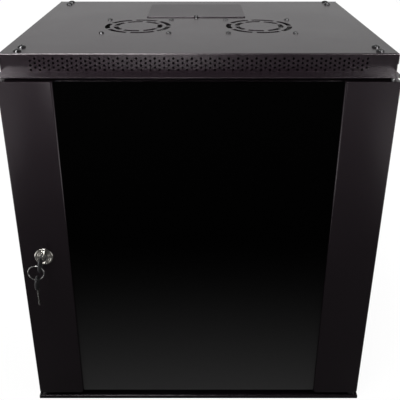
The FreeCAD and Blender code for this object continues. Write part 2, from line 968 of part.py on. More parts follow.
def key_bow():
    """Head of a key with its ring hole at the origin, lying across X with the blade side along +Y."""
    centre = Vector(0, bow_hole_offset, 0)
    half = RIGHT * (bow_thickness / 2)
    bow = bar(bow_radius, centre - half, centre + half)
    for face in (centre - half, centre + half):
        bow = bow.makeChamfer(bow_edge, edges_at_end(bow, face, RIGHT, bow_edge / 2))
    return bow.cut([bore(bow_hole_radius, -half, half), key_blade()])


def key_blade():
    """Blade of the same key, gripped by the bow, with the bitting on its upper edge."""
    half = keyway_height / 2 - key_clearance
    start = bow_hole_offset + bow_radius - bow_grip
    end = key_hole_reach - (door_front - plug_front) + key_insert
    shoulder = end - half
    tooth = blade_cut_length / (len(key_cuts) + 2)
    outline = [(start, half), (start, -half), (shoulder, -half), (end, 0.0), (shoulder, half)]
    for step, cut in enumerate(key_cuts):
        mouth = shoulder - step * tooth
        outline.append((mouth - tooth / 3, half - cut))
        outline.append((mouth - 2 * tooth / 3, half - cut))
        outline.append((mouth - tooth, half))
    thickness = keyway_width - 2 * key_clearance
    points = [Vector(-thickness / 2, y, z) for y, z in outline + outline[:1]]
    return Part.Face(Part.makePolygon(points)).extrude(RIGHT * thickness)


def in_lock(shape):
    """A piece of the key, moved into the lock."""
    shape.translate(Vector(lock_x, key_hole_y, lock_z))
    return shape


def ring_centre():
    """Middle of the ring, whose wire rests on the lower rim of the hole in the key's bow."""
    tilt = math.radians(ring_tilt)
    lean = bow_thickness / 2 * math.tan(tilt) + ring_wire_radial / 2 / math.cos(tilt)
    sag = bow_hole_radius - seat_gap - lean
    across = ring_radius * math.sin(tilt)
    down = ring_radius * math.cos(tilt) + sag
    return Vector(lock_x - across, key_hole_y, lock_z - down)


def key_ring():
    """Flat-wire ring through the bow of the key."""
    start = ring_centre() - BACKWARD * (ring_wire_axial / 2)
    end = ring_centre() + BACKWARD * (ring_wire_axial / 2)
    outer = prism(ring_sides, ring_radius + ring_wire_radial / 2, start, end)
    return outer.cut(prism(ring_sides, ring_radius - ring_wire_radial / 2, start, end))


def on_ring(shape):
    """A piece of the spare key, hung with the rim of its hole on the lowest point of the ring."""
    drop = ring_radius + bow_hole_radius - seat_gap - ring_wire_radial / 2
    shape.rotate(Vector(0, 0, 0), RIGHT, -90)
    shape.translate(ring_centre() - UP * drop)
    return shape


# All pieces, by node name

front_post = front_post_left()
rear_post = mirrored_y(front_post)
top_channel = top_channel_left()
base_channel = mirrored_z(top_channel)
mounting_rail = mounting_rail_left()
side_panel = side_panel_left()
latch_body = side_latch_body_left()
latch_plug = side_latch_plug_left()
stile = door_stile_left()
top_door_rail = door_rail_top()
left_fan, right_fan = fan_centres

pieces = {
    "base_panel": base_panel(),
    "top_panel": top_panel(),
    "vent_strip": vent_strip(),
    "front_header": front_header(),
    "back_panel": back_panel(),
    "front_post_left": front_post,
    "front_post_right": mirrored_x(front_post),
    "rear_post_left": rear_post,
    "rear_post_right": mirrored_x(rear_post),
    "top_channel_left": top_channel,
    "top_channel_right": mirrored_x(top_channel),
    "base_channel_left": base_channel,
    "base_channel_right": mirrored_x(base_channel),
    "mounting_rail_left": mounting_rail,
    "mounting_rail_right": mirrored_x(mounting_rail),
    "rail_bolts": rail_bolts(),
    "rail_nuts": rail_nuts(),
    "fan_frame_left": fan_frame(left_fan),
    "fan_frame_right": fan_frame(right_fan),
    "fan_rotor_left": fan_rotor(left_fan),
    "fan_rotor_right": fan_rotor(right_fan),
    "fan_screws": fan_screws(),
    "top_entry_plate": entry_plate(entry_offset_x, height),
    "base_entry_plate": entry_plate(0.0, base_top),
    "entry_screws": entry_screws(),
    "top_screws": top_screws(),
    "side_panel_left": side_panel,
    "side_panel_right": mirrored_x(side_panel),
    "side_latch_body_left": latch_body,
    "side_latch_body_right": mirrored_x(latch_body),
    "side_latch_plug_left": latch_plug,
    "side_latch_plug_right": mirrored_x(latch_plug),
    "hinge_bush": hinge_bush(),
    "door_buffers": door_buffers(),
    "door_stile_left": stile.cut(lock_hole()),
    "door_stile_right": mirrored_x(stile).cut(pin_holes()),
    "door_rail_top": top_door_rail,
    "door_rail_bottom": mirrored_door_z(top_door_rail),
    "glass_pane": glass_pane(),
    "glass_tape": glass_tape(),
    "hinge_pin_top": hinge_pin(door_top - sheet, ledge_top - seat_gap, -UP),
    "hinge_pin_bottom": hinge_pin(door_bottom + sheet, base_top + seat_gap, UP),
    "lock_body": lock_body(),
    "lock_nut": lock_nut(),
    "lock_plug": lock_plug(),
    "lock_cam": lock_cam(),
    "cam_screw": cam_screw(),
    "key_bow": in_lock(key_bow()),
    "key_blade": in_lock(key_blade()),
    "key_ring": key_ring(),
    "spare_key_bow": on_ring(key_bow()),
    "spare_key_blade": on_ring(key_blade()),
}

os.makedirs("parts", exist_ok=True)
for name, shape in pieces.items():
    shape.exportStep("parts/" + name + ".step")
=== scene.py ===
import json
import math

import bmesh
import bpy
from mathutils import Matrix, Vector


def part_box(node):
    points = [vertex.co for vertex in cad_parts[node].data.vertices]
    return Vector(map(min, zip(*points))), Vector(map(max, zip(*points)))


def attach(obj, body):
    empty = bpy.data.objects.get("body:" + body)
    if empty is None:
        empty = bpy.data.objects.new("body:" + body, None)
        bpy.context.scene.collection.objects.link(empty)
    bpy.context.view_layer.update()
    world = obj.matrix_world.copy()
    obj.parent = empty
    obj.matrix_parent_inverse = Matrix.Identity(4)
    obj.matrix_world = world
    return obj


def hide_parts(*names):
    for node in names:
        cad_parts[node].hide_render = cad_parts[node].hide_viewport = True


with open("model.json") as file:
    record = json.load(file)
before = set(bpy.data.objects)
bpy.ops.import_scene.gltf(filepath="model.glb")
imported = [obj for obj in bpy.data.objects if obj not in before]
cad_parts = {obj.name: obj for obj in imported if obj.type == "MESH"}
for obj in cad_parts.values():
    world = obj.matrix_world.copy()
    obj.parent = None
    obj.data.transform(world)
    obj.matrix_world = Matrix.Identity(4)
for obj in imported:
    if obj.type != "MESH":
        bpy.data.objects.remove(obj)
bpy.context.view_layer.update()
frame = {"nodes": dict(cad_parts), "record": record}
nodes = frame["nodes"]
slot_of = {part["node"]: part["material_slot"] for part in frame["record"]["subparts"]}

# Sizes in metres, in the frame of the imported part: +X to the right, +Y to the wall and +Z up

# Points closer than this are one point
weld = 1e-6

# How far a cutter reaches past the outside and the inside of the sheet that it opens
cut_outside = 0.01
cut_inside = 0.0025

# Faces that meet at less than these angles are shaded as one curve
fold_smooth_deg = 35.0
turned_smooth_deg = 30.0
wire_smooth_deg = 50.0

# Air holes of the strip under the roof. The parts of the field round a hole meet at eighths of a turn
vent_hole_radius = 0.0017
vent_hole_points = 24
vent_columns = 74
vent_rows = 3
vent_pitch = 0.00635
vent_top_margin = 0.0073
vent_cell_stops = (0, 1, 3, 4, 5, 7, 8)

# Folded sheet of the roof and the base, with the fan grilles and the cable entries
panel_sheet = 0.0012
roof_bend = 0.0020
roof_bend_inside = 0.0008
roof_bend_steps = 8
grille_rings = ((0.032, 0.040), (0.046, 0.054))
grille_slots = 7
grille_bridge = 0.007
grille_steps = 12
entry_margin = 0.012
tab_slot_length = 0.0086
tab_slot_width = 0.0021
tab_slot_pitch = 0.088
hole_clearance = 0.0003
hole_points = 20

# Rounding of the lower front and side edges of the base and of the hem on its front lip. Edges are rounded
# when their middle is within reach of the front
base_edge = 0.0010
base_edge_reach = 0.4
base_hem = 0.0022
base_hem_reach = 0.001

# Door stiles
stile_sheet = 0.0012
stile_fold = 0.0020
stile_hem = 0.0036
stile_rim = 0.0016
stile_rim_steps = 3
stile_flange = 0.024
stile_glass_gap = 0.0003
stile_cut = 0.004
fold_steps = 6
lock_hole_radius = 0.00905
pin_hole_radius = 0.00255
drill_points = 24

# Latches of the side panels
latch_flange_radius = 0.011
latch_flange_height = 0.0015
latch_round_share = 0.6
latch_barrel_radius = 0.008
latch_bore_radius = 0.00505
latch_bore_chamfer = 0.0004
latch_points = 48

# Screws, and the piece and the CAD node of each group of them
pan_screw = {"head_radius": 0.00575, "head_height": 0.0033, "crown": 0.0016, "shank_radius": 0.003}
small_screw = {"head_radius": 0.004, "head_height": 0.0024, "crown": 0.0009, "shank_radius": 0.002}
screw_groups = (
    ("roof_screws", "top_screws", pan_screw),
    ("fan_fixings", "fan_screws", small_screw),
    ("entry_fixings", "entry_screws", small_screw),
)
head_points = 28
shoulder_share = 0.6
crown_angles = (0.25, 0.5, 0.8, 1.1, 1.35)
crown_fullness = 0.6
recess_reach_share = 0.58
recess_width_share = 0.11
recess_depth_share = 0.6
recess_top_share = 1.2
recess_turns_deg = (45.0, 135.0)
screw_first_deg = 17.0
screw_step_deg = 41.0

# Lock rosette. A ridge of its face has a radius, a centre as radius and height, two angles and its steps
lock_bore_radius = 0.00605
lock_barrel_radius = 0.009
lock_flange_radius = 0.0145
lock_flange_height = 0.003
lock_ridges = (
    (0.0022, (lock_flange_radius - 0.0022, 0.0024), 0.0, -150.0, 10),
    (0.0016, (lock_flange_radius - 0.0054, 0.0019), -20.0, -160.0, 8),
    (0.0009, (lock_bore_radius + 0.0009, 0.0010), -20.0, -180.0, 6),
)
lock_points = 64

# Split ring. Its turns change place over a stretch that begins and lasts these shares of the wire
ring_wire = 0.0012
ring_turns = 2.0
ring_fill_share = 0.9
ring_start_deg = 70.0
ring_change_begin = 0.44
ring_change_length = 0.12
ring_wire_points = 12
ring_steps = 96

# Bows of the keys
bow_hole_radius = 0.0028
bow_hole_offset = 0.004
bow_edge_share = 0.75
bow_recess_depth = 0.0004
bow_recess_shares = (0.55, 0.62)
bow_points = 48

# Rounded edges of the CAD nodes that stay
sheet_edge = 0.0005
sheet_edge_steps = 2
sheet_edge_deg = 50.0
flat_deg = 0.5

# Camera that took the photograph, as fitted to the corners of the cabinet
camera_place = (-0.0020, -1.0110, 0.8023)
camera_pitch_deg = 24.446
focal_px = 603.7
principal_px = (197.3, 164.97)
image_px = 400.0
sensor_mm = 36.0

# Most of a noise lies in this band
noise_band = (0.3, 0.7)

# An edge shows as worn where its rounding turns the surface by angles with these cosines
edge_band = (0.98, 0.8)
edge_samples = 4

# Powder coat: scales of its textures, shares of its colour in them, and its relief
coat_grain_scale = 1500.0
coat_peel_scale = 420.0
coat_peel_weight = 1.6
coat_cloud_scale = 14.0
coat_cloud_share = 1.5
coat_cloud_most = 0.5
coat_speck_scale = 650.0
coat_speck_band = (0.4, 0.6)
coat_speck_shares = (0.3, 2.2)
coat_worn_share = 3.0
coat_worn_width = 0.0008
coat_roughness_swing = 0.015
coat_bump_strength = 0.3
coat_bump_height = 0.00004
coat_sheen = (1.0, 0.93, 0.965, 1.0)

# Smoked glass, and painted light that makes it lighter towards its foot
glass_refraction = 1.5
glass_specular = 0.03
glass_smear_scale = 6.0
glass_smear_stretch = (1.0, 1.0, 0.4)
glass_smear_band = (0.35, 0.7)
glass_smear_roughness = (0.02, 0.06)
painted_glow_height = 0.31
painted_glow_falloff = 2.05
clear_glass_tone = (0.0003, 0.0003, 0.0003)
painted_glow_tone = (0.0335, 0.0332, 0.0335)

# Floor of the studio. Its glow in reflections comes in over these distances from the side of the cabinet,
# from the front of the door and from the middle
floor_place = (0.0, 2.0, -0.0005)
floor_half = 8.0
floor_cells = 8
floor_grey = 0.1
floor_glow = 0.92
floor_far = 0.08
floor_aside = 0.9
floor_beside_side = (0.1, 0.3)
floor_behind_front = (0.0, 0.02)
floor_fade_at_front = (-0.10, -0.01)
floor_far_from_front = (-0.8, -2.0)
floor_aside_of_middle = (0.7, 1.0)
floor_aside_end = (-2.2, -1.6)

# White tent of the studio: two directions along an axis, and the strength at each
tent_behind = (-0.25, 0.35, 0.02, 0.56)
tent_beside = (0.75, 0.95, 0.0, 0.6)
tent_soft = (-0.6, 0.6, 0.85, 0.95)


def low(node):
    """Lowest corner of a CAD node's box."""
    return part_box(node)[0]


def high(node):
    """Highest corner of a CAD node's box."""
    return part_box(node)[1]


def middle(node):
    """Middle of a CAD node's box."""
    lowest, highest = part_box(node)
    return (lowest + highest) / 2


# Shader node helpers


def plug(tree, socket, source):
    """Gives a socket a plain value or the output of another node."""
    if isinstance(source, bpy.types.NodeSocket):
        tree.links.new(source, socket)
    else:
        socket.default_value = source


def combined(tree, operation, *sources):
    """Result of a math node."""
    made = tree.nodes.new("ShaderNodeMath")
    made.operation = operation
    for socket, source in zip(made.inputs, sources):
        plug(tree, socket, source)
    return made.outputs["Value"]


def mapped(tree, source, low_in, high_in, low_out, high_out):
    """Value carried from one range to another and held at its ends."""
    made = tree.nodes.new("ShaderNodeMapRange")
    for name, value in (
        ("Value", source),
        ("From Min", low_in),
        ("From Max", high_in),
        ("To Min", low_out),
        ("To Max", high_out),
    ):
        plug(tree, made.inputs[name], value)
    return made.outputs["Result"]


def blended(tree, share, first, second):
    """Value that goes from the first to the second as the share goes from zero to one."""
    made = tree.nodes.new("ShaderNodeMix")
    for name, source in (("Factor", share), ("A", first), ("B", second)):
        plug(tree, made.inputs[name], source)
    return made.outputs["Result"]


def axes_of(tree, place):
    """X, Y and Z sockets of a place."""
    made = tree.nodes.new("ShaderNodeSeparateXYZ")
    tree.links.new(place, made.inputs["Vector"])
    return made.outputs


class Shader:
    """A new material with a Principled shader, and short calls for its nodes."""

    def __init__(self, name, base, roughness, metallic=0.0, specular=0.5):
        self.material = bpy.data.materials.new(name)
        self.material.use_nodes = True
        self.tree = self.material.node_tree
        self.surface = self.tree.nodes["Principled BSDF"]
        self.feed("Base Color", (*base, 1.0))
        self.feed("Roughness", roughness)
        self.feed("Metallic", metallic)
        self.feed("Specular IOR Level", specular)
        self.place = self.node("ShaderNodeTexCoord").outputs["Object"]

    def node(self, kind, **settings):
        made = self.tree.nodes.new(kind)
        for name, value in settings.items():
            setattr(made, name, value)
        return made

    def link(self, source, target):
        self.tree.links.new(source, target)

    def feed(self, socket, source):
        plug(self.tree, self.surface.inputs[socket], source)

    def stretched(self, scale):
        """Object coordinates with another scale along each axis."""
        mapping = self.node("ShaderNodeMapping")
        mapping.inputs["Scale"].default_value = scale
        self.link(self.place, mapping.inputs["Vector"])
        return mapping.outputs["Vector"]

    def noise(self, scale, detail=2.0, place=None):
        made = self.node("ShaderNodeTexNoise")
        made.inputs["Scale"].default_value = scale
        made.inputs["Detail"].default_value = detail
        self.link(place or self.place, made.inputs["Vector"])
        return made.outputs["Fac"]

    def ranged(self, source, band, low_out, high_out):
        return mapped(self.tree, source, *band, low_out, high_out)

    def mixed(self, share, first, second):
        """Colour between two colours, either of which may be a socket."""
        made = self.node("ShaderNodeMix", data_type="RGBA")
        self.link(share, made.inputs["Factor"])
        # The sockets for colours come after those for numbers and vectors, under the same names
        for socket, value in ((made.inputs[6], first), (made.inputs[7], second)):
            plug(self.tree, socket, (*value, 1.0) if isinstance(value, tuple) else value)
        return made.outputs[2]

    def bump(self, source, strength, distance):
        made = self.node("ShaderNodeBump")
        made.inputs["Strength"].default_value = strength
        made.inputs["Distance"].default_value = distance
        self.link(source, made.inputs["Height"])
        self.feed("Normal", made.outputs["Normal"])

    def edges(self, radius):
        """Mask that is one along sharp edges and zero on flat faces."""
        bevel = self.node("ShaderNodeBevel", samples=edge_samples)
        bevel.inputs["Radius"].default_value = radius
        flat = self.node("ShaderNodeNewGeometry").outputs["Normal"]
        dot = self.node("ShaderNodeVectorMath", operation="DOT_PRODUCT")
        self.link(bevel.outputs["Normal"], dot.inputs[0])
        self.link(flat, dot.inputs[1])
        return self.ranged(dot.outputs["Value"], edge_band, 0.0, 1.0)


def toned(colour, share):
    """A colour made darker or lighter."""
    return tuple(channel * share for channel in colour)


# Finishes


def powder_coat(name, base, roughness):
    """Fine-textured black powder coat, a little polished along its edges."""
    shader = Shader(name, base, roughness)
    grain = shader.noise(coat_grain_scale)
    peel = shader.noise(coat_peel_scale, detail=1.0)
    cloud = shader.noise(coat_cloud_scale, detail=3.0)
    speck = shader.ranged(shader.noise(coat_speck_scale), coat_speck_band, 0.0, 1.0)
    specks = shader.mixed(speck, *(toned(base, share) for share in coat_speck_shares))
    clouded = shader.ranged(cloud, noise_band, 0.0, coat_cloud_most)
    tone = shader.mixed(clouded, specks, toned(base, coat_cloud_share))
    worn = toned(base, coat_worn_share)
    shader.feed("Base Color", shader.mixed(shader.edges(coat_worn_width), tone, worn))
    swing = coat_roughness_swing
    shader.feed("Roughness", shader.ranged(cloud, noise_band, roughness - swing, roughness + swing))
    height = combined(shader.tree, "MULTIPLY_ADD", peel, coat_peel_weight, grain)
    shader.bump(height, coat_bump_strength, coat_bump_height)
    shader.feed("Specular Tint", coat_sheen)
    return shader.material


def smoked_glass(name):
    """Dark polished pane, with painted light in its colour that makes it lighter towards its foot."""
    clearest, dimmest = glass_smear_roughness
    shader = Shader(name, clear_glass_tone, clearest, specular=glass_specular)
    shader.feed("IOR", glass_refraction)
    height = axes_of(shader.tree, shader.place)["Z"]
    foot = low("glass_pane").z
    share = shader.ranged(height, (foot, foot + painted_glow_height), 1.0, 0.0)
    painted_glow = combined(shader.tree, "POWER", share, painted_glow_falloff)
    # Painted light: the pane's colour grows lighter towards its foot, standing in for light seen in and
    # through the glass
    shader.feed("Base Color", shader.mixed(painted_glow, clear_glass_tone, painted_glow_tone))
    smear = shader.noise(glass_smear_scale, detail=4.0, place=shader.stretched(glass_smear_stretch))
    shader.feed("Roughness", shader.ranged(smear, glass_smear_band, clearest, dimmest))
    return shader.material


def plated(name, base, roughness, grain_scale):
    """Bright metal with fine scratches and a slightly uneven polish."""
    scratch_stretch = (1.0, 0.2, 6.0)
    cloud_scale = grain_scale / 6
    smoothest, roughest = roughness * 0.7, roughness * 1.4
    dull_band, dull_share = (0.4, 0.8), 0.7
    shader = Shader(name, base, roughness, metallic=1.0)
    scratches = shader.noise(grain_scale, detail=3.0, place=shader.stretched(scratch_stretch))
    cloud = shader.noise(cloud_scale)
    shader.feed("Roughness", shader.ranged(cloud, noise_band, smoothest, roughest))
    dull = shader.ranged(cloud, dull_band, 0.0, 1.0)
    shader.feed("Base Color", shader.mixed(dull, base, toned(base, dull_share)))
    shader.bump(scratches, strength=0.12, distance=0.00008)
    return shader.material


def black_oxide(name):
    """Blackened steel of the screws, bright where its edges are worn."""
    base, worn = (0.07, 0.07, 0.072), (0.3, 0.3, 0.3)
    cloud_scale = 900.0
    roughness, swing = 0.12, 0.04
    shader = Shader(name, base, roughness, metallic=1.0)
    cloud = shader.noise(cloud_scale, detail=3.0)
    shader.feed("Roughness", shader.ranged(cloud, noise_band, roughness - swing, roughness + swing))
    shader.feed("Base Color", shader.mixed(shader.edges(radius=0.0004), base, worn))
    shader.bump(cloud, strength=0.1, distance=0.00005)
    return shader.material


def moulded(name, base, roughness, grain_scale):
    """Moulded plastic or rubber with a fine spark-eroded grain."""
    cloud_scale, cloud_share = 60.0, 1.6
    smoothest, roughest = roughness - 0.06, roughness + 0.08
    shader = Shader(name, base, roughness)
    grain = shader.noise(grain_scale, detail=3.0)
    cloud = shader.noise(cloud_scale)
    shader.feed("Base Color", shader.mixed(cloud, base, toned(base, cloud_share)))
    shader.feed("Roughness", shader.ranged(grain, noise_band, smoothest, roughest))
    shader.bump(grain, strength=0.3, distance=0.0001)
    return shader.material


def foam(name):
    """Closed-cell foam tape."""
    core, wall = (0.012, 0.012, 0.012), (0.04, 0.04, 0.04)
    roughness = 0.9
    cell_scale = 1800.0
    shader = Shader(name, core, roughness)
    cells = shader.node("ShaderNodeTexVoronoi")
    cells.inputs["Scale"].default_value = cell_scale
    shader.link(shader.place, cells.inputs["Vector"])
    shader.feed("Base Color", shader.mixed(cells.outputs["Distance"], core, wall))
    shader.bump(cells.outputs["Distance"], strength=0.5, distance=0.0002)
    return shader.material


# Each finish with its kind, colour, roughness and scale of grain
finishes = {
    "black_coat": (powder_coat, (0.0044, 0.0029, 0.0039), 0.25),
    "entry_coat": (powder_coat, (0.0044, 0.0028, 0.0040), 0.33),
    "strip_coat": (powder_coat, (0.0044, 0.0029, 0.0039), 0.19),
    "smoked_glass": (smoked_glass,),
    "chrome": (plated, (0.88, 0.87, 0.85), 0.11, 900.0),
    "lock_chrome": (plated, (0.72, 0.69, 0.64), 0.13, 900.0),
    "zinc_steel": (plated, (0.55, 0.56, 0.57), 0.32, 500.0),
    "key_steel": (plated, (0.6, 0.59, 0.56), 0.26, 900.0),
    "black_screw": (black_oxide,),
    "black_plastic": (moulded, (0.018, 0.018, 0.019), 0.45, 1600.0),
    "fan_plastic": (moulded, (0.012, 0.012, 0.012), 0.72, 900.0),
    "rubber": (moulded, (0.022, 0.022, 0.022), 0.75, 700.0),
    "foam_tape": (foam,),
}
materials = {name: kind(name, *values) for name, (kind, *values) in finishes.items()}


# Mesh helpers

# Turns that carry Z to +X and to +Y
turn_to_x = Matrix.Rotation(math.radians(90.0), 4, "Y")
turn_to_y = Matrix.Rotation(math.radians(-90.0), 4, "X")


def new_piece(name, shape, body, replaced, slot, finish=None, smooth_deg=fold_smooth_deg):
    """Object from a bmesh that rides on a body and stands for CAD nodes."""
    mesh = bpy.data.meshes.new(name)
    shape.to_mesh(mesh)
    shape.free()
    piece = bpy.data.objects.new(name, mesh)
    bpy.context.scene.collection.objects.link(piece)
    mesh.materials.append(materials[finish or slot])
    mesh.polygons.foreach_set("use_smooth", [True] * len(mesh.polygons))
    mesh.set_sharp_from_angle(angle=math.radians(smooth_deg))
    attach(piece, body)
    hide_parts(*replaced)
    return piece


def flatten_faces(piece):
    """Lets the large faces of a piece look flat beside its rounded edges."""
    even = piece.modifiers.new("flat faces", "WEIGHTED_NORMAL")
    even.keep_sharp = True


def arc(centre, radius, start, end, steps):
    """Points of an arc about a centre, from one angle to another."""
    angles = [start + (end - start) * step / steps for step in range(steps + 1)]
    return [(centre[0] + radius * math.cos(t), centre[1] + radius * math.sin(t)) for t in angles]


def circle(centre, radius, points):
    """Points of a full circle about a centre."""
    return arc(centre, radius, 0.0, 2 * math.pi, points)[:-1]


def rounded_corner(radius, centre, start_deg, end_deg, steps=5):
    """Points of a rounded corner in a lathe profile."""
    return arc(centre, radius, math.radians(start_deg), math.radians(end_deg), steps)


def lathe(shape, profile, points, place):
    """Adds a body of revolution about Z.

    Its (radius, height) pairs start and end on the axis, or end where they started.
    """
    rings = []
    for radius, height in profile:
        spots = circle((0.0, 0.0), radius, points) if radius else [(0.0, 0.0)]
        rings.append([shape.verts.new(place @ Vector((x, y, height))) for x, y in spots])
    for first, second in zip(rings, rings[1:]):
        for step in range(points):
            after = (step + 1) % points
            corners = [
                first[step % len(first)],
                first[after % len(first)],
                second[after % len(second)],
                second[step % len(second)],
            ]
            unique = list(dict.fromkeys(corners))
            if len(unique) > 2:
                shape.faces.new(unique)


def add_drill(shape, radius, reach, points, place):
    """Adds a round cutter that reaches equally far to both sides along Z."""
    lathe(shape, [(0.0, -reach), (radius, -reach), (radius, reach), (0.0, reach)], points, place)


def add_block(shape, lowest, highest, place=Matrix.Identity(4)):
    """Adds a block between two corners."""
    size = [b - a for a, b in zip(lowest, highest)]
    centre = [(a + b) / 2 for a, b in zip(lowest, highest)]
    fit = place @ Matrix.Translation(centre) @ Matrix.Diagonal((*size, 1.0))
    bmesh.ops.create_cube(shape, size=1.0, matrix=fit)


def add_prism(shape, outline, low_z, high_z):
    """Adds an upright prism on an outline of (x, y) points."""
    foot = [shape.verts.new((x, y, low_z)) for x, y in outline]
    head = [shape.verts.new((x, y, high_z)) for x, y in outline]
    shape.faces.new(foot[::-1])
    shape.faces.new(head)
    for index in range(len(outline)):
        after = (index + 1) % len(outline)
        shape.faces.new((foot[index], foot[after], head[after], head[index]))


def round_edges(shape, chosen, radius, steps):
    """Rounds the edges whose middle point passes a test."""
    edges = [edge for edge in shape.edges if chosen((edge.verts[0].co + edge.verts[1].co) / 2)]
    bmesh.ops.bevel(shape, geom=edges, offset=radius, segments=steps, profile=0.5, affect="EDGES")


def joined(shape):
    """The shape with its doubled points joined and its faces turned outwards."""
    bmesh.ops.remove_doubles(shape, verts=shape.verts, dist=weld)
    bmesh.ops.recalc_face_normals(shape, faces=shape.faces)
    return shape


def carved(shape, cutter):
    """The first shape less the second."""
    made = []
    for source in (shape, cutter):
        bmesh.ops.recalc_face_normals(source, faces=source.faces)
        mesh = bpy.data.meshes.new("carving")
        source.to_mesh(mesh)
        source.free()
        made.append(bpy.data.objects.new("carving", mesh))
        bpy.context.scene.collection.objects.link(made[-1])
    body, tool = made
    cut = body.modifiers.new("cut", "BOOLEAN")
    cut.operation = "DIFFERENCE"
    cut.solver = "EXACT"
    cut.use_self = True
    cut.object = tool
    result = bmesh.new()
    result.from_object(body, bpy.context.evaluated_depsgraph_get())
    bmesh.ops.dissolve_degenerate(result, dist=weld, edges=result.edges)
    for piece in made:
        mesh = piece.data
        bpy.data.objects.remove(piece)
        bpy.data.meshes.remove(mesh)
    return result


def loose_parts(node):
    """Boxes of the separate solids in a CAD node, each as its lowest and highest corner."""
    shape = bmesh.new()
    shape.from_mesh(nodes[node].data)
    bmesh.ops.remove_doubles(shape, verts=shape.verts, dist=weld)
    left = set(shape.verts)
    boxes = []
    while left:
        stack = [left.pop()]
        points = []
        while stack:
            vert = stack.pop()
            points.append(vert.co.copy())
            for edge in vert.link_edges:
                other = edge.other_vert(vert)
                if other in left:
                    left.remove(other)
                    stack.append(other)
        lowest = Vector([min(p[i] for p in points) for i in range(3)])
        highest = Vector([max(p[i] for p in points) for i in range(3)])
        boxes.append((lowest, highest))
    shape.free()
    return sorted(boxes, key=lambda pair: tuple(pair[0]))


# Screws


def seats(node, screw):
    """Points where the heads of a node's screws sit."""
    return [
        Vector(((a.x + b.x) / 2, (a.y + b.y) / 2, b.z - screw["head_height"])) for a, b in loose_parts(node)
    ]


def screw_shape(head_radius, head_height, crown, shank_radius, shank_length):
    """Pan head with a cross recess on a shank, its seat at the origin and its head upwards."""
    shoulder = (head_height - crown) * shoulder_share
    profile = [(0.0, -shank_length), (shank_radius, -shank_length), (shank_radius, 0.0)]
    profile += [(head_radius, 0.0), (head_radius, shoulder)]
    for turn in crown_angles:
        height = shoulder + (head_height - shoulder) * math.sin(turn)
        profile.append((head_radius * math.cos(turn) ** crown_fullness, height))
    profile.append((0.0, head_height))
    shape = bmesh.new()
    lathe(shape, profile, head_points, Matrix.Identity(4))
    recess = bmesh.new()
    reach, thick = head_radius * recess_reach_share, head_radius * recess_width_share
    bottom, top = head_height - head_height * recess_depth_share, head_height * recess_top_share
    for turn in recess_turns_deg:
        place = Matrix.Rotation(math.radians(turn), 4, "Z")
        add_block(recess, (-reach, -thick, bottom), (reach, thick, top), place)
    return carved(shape, recess)


def screw_group(name, node, screw):
    """Copies of one screw at all seats of a node, each turned by its own angle."""
    lowest, highest = loose_parts(node)[0]
    shape = screw_shape(**screw, shank_length=highest.z - lowest.z - screw["head_height"])
    mesh = bpy.data.meshes.new("screw")
    shape.to_mesh(mesh)
    shape.free()
    group = bmesh.new()
    for index, spot in enumerate(seats(node, screw)):
        count = len(group.verts)
        group.from_mesh(mesh)
        group.verts.ensure_lookup_table()
        turn = Matrix.Rotation(math.radians(screw_first_deg + screw_step_deg * index), 4, "Z")
        place = Matrix.Translation(spot) @ turn
        bmesh.ops.transform(group, matrix=place, verts=group.verts[count:])
    bpy.data.meshes.remove(mesh)
    new_piece(name, group, "cabinet", [node], "black_screw")


# Roof and base


def folded_block(lowest, highest, radius):
    """Block whose upper front and side edges are rounded."""
    top, rear = highest[2], highest[1]
    shape = bmesh.new()
    add_block(shape, lowest, highest)
    round_edges(
        shape,
        lambda spot: abs(spot.z - top) < weld and abs(spot.y - rear) > weld,
        radius,
        roof_bend_steps,
    )
    return shape


def add_grille(shape, centre, low_z, high_z):
    """Adds the cutters of two rings of arc slots round a fan's axis."""
    pitch = 2 * math.pi / grille_slots
    for ring, (inner, outer) in enumerate(grille_rings):
        half_bridge = grille_bridge / (inner + outer)
        shift = pitch / 2 * (1 - ring)
        for step in range(grille_slots):
            start = shift + step * pitch + half_bridge
            end = shift + (step + 1) * pitch - half_bridge
            outline = arc(centre, outer, start, end, grille_steps)
            outline += arc(centre, inner, end, start, grille_steps)
            add_prism(shape, outline, low_z, high_z)


def add_entry(shape, plate, low_z, high_z):
    """Adds the cutters of a cable entry and of the two slots for its plate's tabs."""
    plate_low, plate_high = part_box(plate)
    x = (plate_low.x + entry_margin, plate_high.x - entry_margin)
    y = (plate_low.y + entry_margin, plate_high.y - entry_margin)
    add_block(shape, (x[0], y[0], low_z), (x[1], y[1], high_z))
    rear = plate_high.y + hole_clearance
    for side in (-1, 1):
        slot_x = (plate_low.x + plate_high.x) / 2 + side * tab_slot_pitch / 2
        add_block(
            shape,
            (slot_x - tab_slot_length / 2, rear - tab_slot_width, low_z),
            (slot_x + tab_slot_length / 2, rear, high_z),
        )


def add_screw_holes(shape, panel, low_z, high_z):
    """Adds the cutters of the holes for the screws that sit on a panel."""
    lowest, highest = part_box(panel)
    for _, node, screw in screw_groups:
        for spot in seats(node, screw):
            if lowest.z - cut_outside < spot.z < highest.z + cut_outside:
                outline = circle(spot, screw["shank_radius"] + hole_clearance, hole_points)
                add_prism(shape, outline, low_z, high_z)


